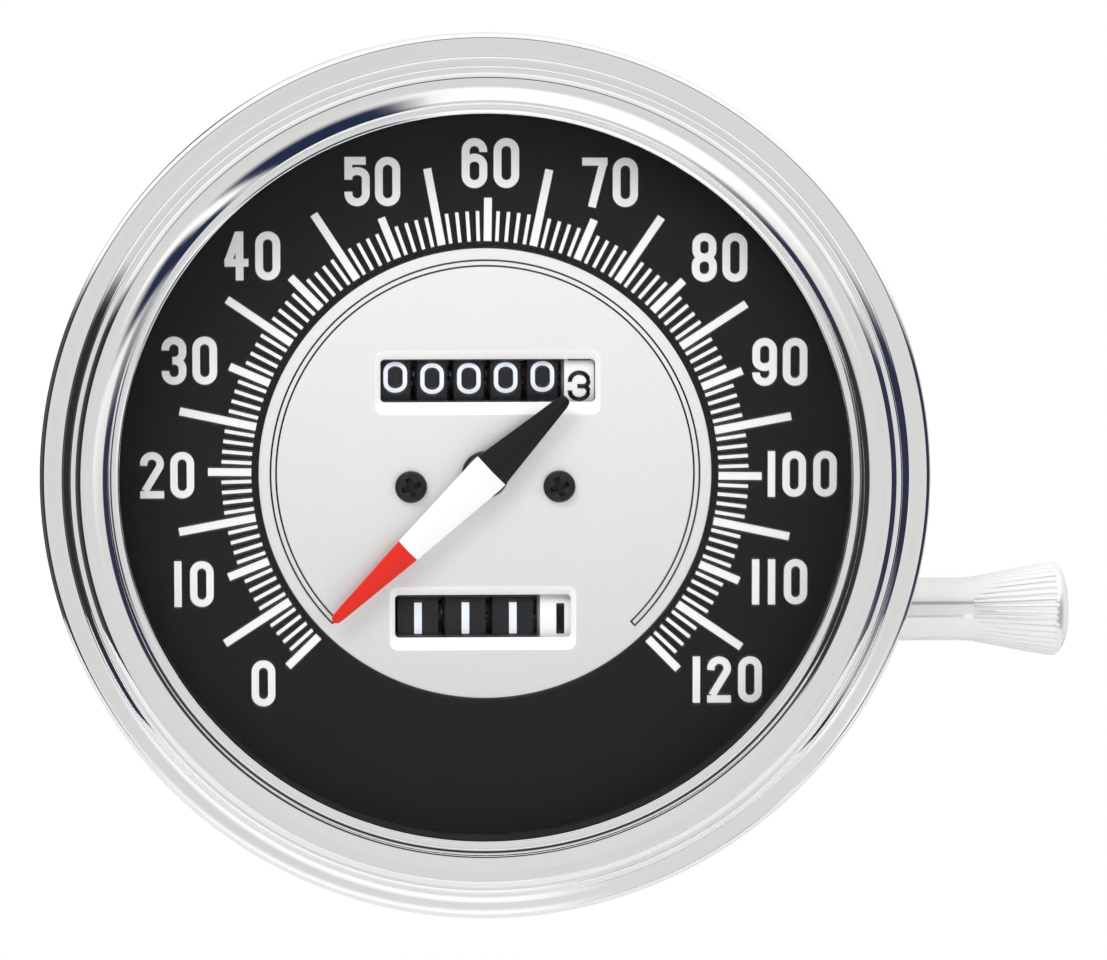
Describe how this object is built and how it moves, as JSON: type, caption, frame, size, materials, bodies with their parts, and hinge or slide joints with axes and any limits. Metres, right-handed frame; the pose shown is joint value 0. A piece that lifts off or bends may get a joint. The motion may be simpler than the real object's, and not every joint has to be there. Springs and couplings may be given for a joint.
{
  "type": "speedometer",
  "caption": "Round dash speedometer: chrome bezel, needle over a 0 to 120 dial, odometer and trip counter drums behind windows, side reset knob, rear cable boss and studs.",
  "frame": {"origin": "on the gauge's axis at the back face of the can, midway between the two mounting studs", "axes": "+Z toward 12 o'clock on the dial, +X toward the trip reset knob (3 o'clock), the dial faces -Y and the studs and cable boss point along +Y"},
  "size_m": [0.1488, 0.0736, 0.127],
  "materials": {
    "bezel_chrome": "bright plated, polished",
    "knob_chrome": "bright plated, fluted",
    "can_steel": "zinc plated, satin",
    "boss_steel": "zinc plated, threaded",
    "stud_steel": "zinc plated, threaded",
    "lens_glass": "clear, flat",
    "gasket_rubber": "matte",
    "ring_black": "matte black",
    "dial_black": "satin black with a silver centre and white marks",
    "screw_black": "black oxide",
    "frame_zinc": "die cast, satin",
    "plate_steel": "plain, brushed",
    "bush_bronze": "sintered bronze",
    "gear_brass": "cut, bright",
    "shaft_steel": "ground",
    "magnet_alloy": "sintered, dull",
    "cup_aluminium": "thin, bright",
    "jewel": "synthetic ruby",
    "spring_bronze": "bright strip",
    "pointer_paint": "satin, white with a red tip and black tail",
    "hub_grey": "matte",
    "drum_black": "satin black, white digits",
    "drum_white": "satin white, black digits",
    "pinion_plastic": "black",
    "lamp_steel": "plated",
    "bulb_glass": "clear"
  },
  "bodies": {
    "case": {"case_can": "can_steel", "bezel": "bezel_chrome", "lens": "lens_glass", "lens_gasket": "gasket_rubber", "spacer_ring": "ring_black", "dial_plate": "dial_black", "dial_screws": "screw_black", "dial_posts": "shaft_steel", "frame_base": "frame_zinc", "side_plate_left": "plate_steel", "side_plate_right": "plate_steel", "bridge_plate": "plate_steel", "train_bracket": "plate_steel", "drive_boss": "boss_steel", "input_bush": "bush_bronze", "staff_jewel": "jewel", "field_plate": "plate_steel", "hairspring": "spring_bronze", "odo_pinion_shaft": "shaft_steel", "trip_pinion_shaft": "shaft_steel", "idler_stud": "shaft_steel", "reset_bush": "gear_brass", "mounting_studs": "stud_steel", "frame_screws": "stud_steel", "lamp_shells": "lamp_steel", "lamp_bulbs": "bulb_glass"},
    "pointer_assembly": {"pointer": "pointer_paint", "pointer_hub": "hub_grey", "pointer_staff": "shaft_steel", "drag_cup": "cup_aluminium"},
    "drive_shaft": {"input_shaft": "shaft_steel", "magnet": "magnet_alloy"},
    "countershaft": {"countershaft": "gear_brass"},
    "idler": {"idler_gear": "gear_brass"},
    "cross_shaft": {"cross_shaft": "shaft_steel"},
    "odo_tenths": {"odometer_shaft": "shaft_steel", "odo_drive_gear": "gear_brass", "odo_drum_tenths": "drum_white"},
    "trip_tenths": {"trip_drive_gear": "gear_brass", "trip_drum_tenths": "drum_white"},
    "reset": {"trip_shaft": "shaft_steel", "reset_knob": "knob_chrome", "knob_set_screw": "screw_black"},
    "odo_units": {"odo_drum_units": "drum_black"},
    "odo_units_pinion": {"odo_pinion_units": "pinion_plastic"},
    "odo_tens": {"odo_drum_tens": "drum_black"},
    "odo_tens_pinion": {"odo_pinion_tens": "pinion_plastic"},
    "odo_hundreds": {"odo_drum_hundreds": "drum_black"},
    "odo_hundreds_pinion": {"odo_pinion_hundreds": "pinion_plastic"},
    "odo_thousands": {"odo_drum_thousands": "drum_black"},
    "odo_thousands_pinion": {"odo_pinion_thousands": "pinion_plastic"},
    "odo_ten_thousands": {"odo_drum_ten_thousands": "drum_black"},
    "odo_ten_thousands_pinion": {"odo_pinion_ten_thousands": "pinion_plastic"},
    "trip_units": {"trip_drum_units": "drum_black"},
    "trip_units_pinion": {"trip_pinion_units": "pinion_plastic"},
    "trip_tens": {"trip_drum_tens": "drum_black"},
    "trip_tens_pinion": {"trip_pinion_tens": "pinion_plastic"},
    "trip_hundreds": {"trip_drum_hundreds": "drum_black"},
    "trip_hundreds_pinion": {"trip_pinion_hundreds": "pinion_plastic"}
  },
  "joints": [
    {"name": "cross_shaft_spin", "type": "hinge", "parent": "case", "child": "cross_shaft", "pos_m": [0.02106, -0.025, 0], "axis": [0, 0, 1], "continuous": true},
    {"name": "pointer_sweep", "type": "hinge", "parent": "case", "child": "pointer_assembly", "pos_m": [0, -0.03, 0], "axis": [0, 1, 0], "range_deg": [0, 270], "stiffness_Nm_per_rad": 0.0002, "springref_deg": -17.19, "deforming": ["hairspring"]},
    {"name": "drive_shaft_spin", "type": "hinge", "parent": "case", "child": "drive_shaft", "pos_m": [0, 0, 0], "axis": [0, -1, 0], "continuous": true},
    {"name": "countershaft_spin", "type": "hinge", "parent": "case", "child": "countershaft", "pos_m": [0.0076, -0.0094, 0], "axis": [0, 0, 1], "continuous": true},
    {"name": "idler_spin", "type": "hinge", "parent": "case", "child": "idler", "pos_m": [0.01433, -0.0172, 0], "axis": [0, 0, 1], "continuous": true},
    {"name": "odo_tenths_spin", "type": "hinge", "parent": "case", "child": "odo_tenths", "pos_m": [0, -0.0352, 0.0134], "axis": [1, 0, 0], "continuous": true},
    {"name": "trip_tenths_spin", "type": "hinge", "parent": "case", "child": "trip_tenths", "pos_m": [0, -0.0352, -0.0214], "axis": [1, 0, 0], "continuous": true},
    {"name": "reset_knob_turn", "type": "hinge", "parent": "case", "child": "reset", "pos_m": [0.06, -0.0352, -0.0214], "axis": [1, 0, 0], "continuous": true},
    {"name": "odo_units_spin", "type": "hinge", "parent": "case", "child": "odo_units", "pos_m": [0, -0.0352, 0.0134], "axis": [1, 0, 0], "continuous": true},
    {"name": "odo_units_pinion_spin", "type": "hinge", "parent": "case", "child": "odo_units_pinion", "pos_m": [0, -0.02546, 0.01903], "axis": [1, 0, 0], "continuous": true},
    {"name": "odo_tens_spin", "type": "hinge", "parent": "case", "child": "odo_tens", "pos_m": [0, -0.0352, 0.0134], "axis": [1, 0, 0], "continuous": true},
    {"name": "odo_tens_pinion_spin", "type": "hinge", "parent": "case", "child": "odo_tens_pinion", "pos_m": [0, -0.02546, 0.01903], "axis": [1, 0, 0], "continuous": true},
    {"name": "odo_hundreds_spin", "type": "hinge", "parent": "case", "child": "odo_hundreds", "pos_m": [0, -0.0352, 0.0134], "axis": [1, 0, 0], "continuous": true},
    {"name": "odo_hundreds_pinion_spin", "type": "hinge", "parent": "case", "child": "odo_hundreds_pinion", "pos_m": [0, -0.02546, 0.01903], "axis": [1, 0, 0], "continuous": true},
    {"name": "odo_thousands_spin", "type": "hinge", "parent": "case", "child": "odo_thousands", "pos_m": [0, -0.0352, 0.0134], "axis": [1, 0, 0], "continuous": true},
    {"name": "odo_thousands_pinion_spin", "type": "hinge", "parent": "case", "child": "odo_thousands_pinion", "pos_m": [0, -0.02546, 0.01903], "axis": [1, 0, 0], "continuous": true},
    {"name": "odo_ten_thousands_spin", "type": "hinge", "parent": "case", "child": "odo_ten_thousands", "pos_m": [0, -0.0352, 0.0134], "axis": [1, 0, 0], "continuous": true},
    {"name": "odo_ten_thousands_pinion_spin", "type": "hinge", "parent": "case", "child": "odo_ten_thousands_pinion", "pos_m": [0, -0.02546, 0.01903], "axis": [1, 0, 0], "continuous": true},
    {"name": "trip_units_spin", "type": "hinge", "parent": "case", "child": "trip_units", "pos_m": [0, -0.0352, -0.0214], "axis": [1, 0, 0], "continuous": true},
    {"name": "trip_units_pinion_spin", "type": "hinge", "parent": "case", "child": "trip_units_pinion", "pos_m": [0, -0.02546, -0.02703], "axis": [1, 0, 0], "continuous": true},
    {"name": "trip_tens_spin", "type": "hinge", "parent": "case", "child": "trip_tens", "pos_m": [0, -0.0352, -0.0214], "axis": [1, 0, 0], "continuous": true},
    {"name": "trip_tens_pinion_spin", "type": "hinge", "parent": "case", "child": "trip_tens_pinion", "pos_m": [0, -0.02546, -0.02703], "axis": [1, 0, 0], "continuous": true},
    {"name": "trip_hundreds_spin", "type": "hinge", "parent": "case", "child": "trip_hundreds", "pos_m": [0, -0.0352, -0.0214], "axis": [1, 0, 0], "continuous": true},
    {"name": "trip_hundreds_pinion_spin", "type": "hinge", "parent": "case", "child": "trip_hundreds_pinion", "pos_m": [0, -0.02546, -0.02703], "axis": [1, 0, 0], "continuous": true}
  ],
  "couplings": [
    {"joint": "drive_shaft_spin", "follows": "cross_shaft_spin", "ratio": -25},
    {"joint": "countershaft_spin", "follows": "cross_shaft_spin", "ratio": 1},
    {"joint": "idler_spin", "follows": "cross_shaft_spin", "ratio": -1},
    {"joint": "odo_tenths_spin", "follows": "cross_shaft_spin", "ratio": -0.025},
    {"joint": "trip_tenths_spin", "follows": "cross_shaft_spin", "ratio": -0.025},
    {"joint": "odo_units_spin", "follows": "cross_shaft_spin", "ratio": -0.0025},
    {"joint": "odo_units_pinion_spin", "follows": "cross_shaft_spin", "ratio": 0.00625},
    {"joint": "odo_tens_spin", "follows": "cross_shaft_spin", "ratio": -0.00025},
    {"joint": "odo_tens_pinion_spin", "follows": "cross_shaft_spin", "ratio": 0.000625},
    {"joint": "odo_hundreds_spin", "follows": "cross_shaft_spin", "ratio": -0.000025},
    {"joint": "odo_hundreds_pinion_spin", "follows": "cross_shaft_spin", "ratio": 0.0000625},
    {"joint": "odo_thousands_spin", "follows": "cross_shaft_spin", "ratio": -0.0000025},
    {"joint": "odo_thousands_pinion_spin", "follows": "cross_shaft_spin", "ratio": 0.00000625},
    {"joint": "odo_ten_thousands_spin", "follows": "cross_shaft_spin", "ratio": -0.00000025},
    {"joint": "odo_ten_thousands_pinion_spin", "follows": "cross_shaft_spin", "ratio": 0.000000625},
    {"joint": "trip_units_spin", "follows": "cross_shaft_spin", "ratio": -0.0025},
    {"joint": "trip_units_pinion_spin", "follows": "cross_shaft_spin", "ratio": 0.00625},
    {"joint": "trip_tens_spin", "follows": "cross_shaft_spin", "ratio": -0.00025},
    {"joint": "trip_tens_pinion_spin", "follows": "cross_shaft_spin", "ratio": 0.000625},
    {"joint": "trip_hundreds_spin", "follows": "cross_shaft_spin", "ratio": -0.000025},
    {"joint": "trip_hundreds_pinion_spin", "follows": "cross_shaft_spin", "ratio": 0.0000625}
  ]
}
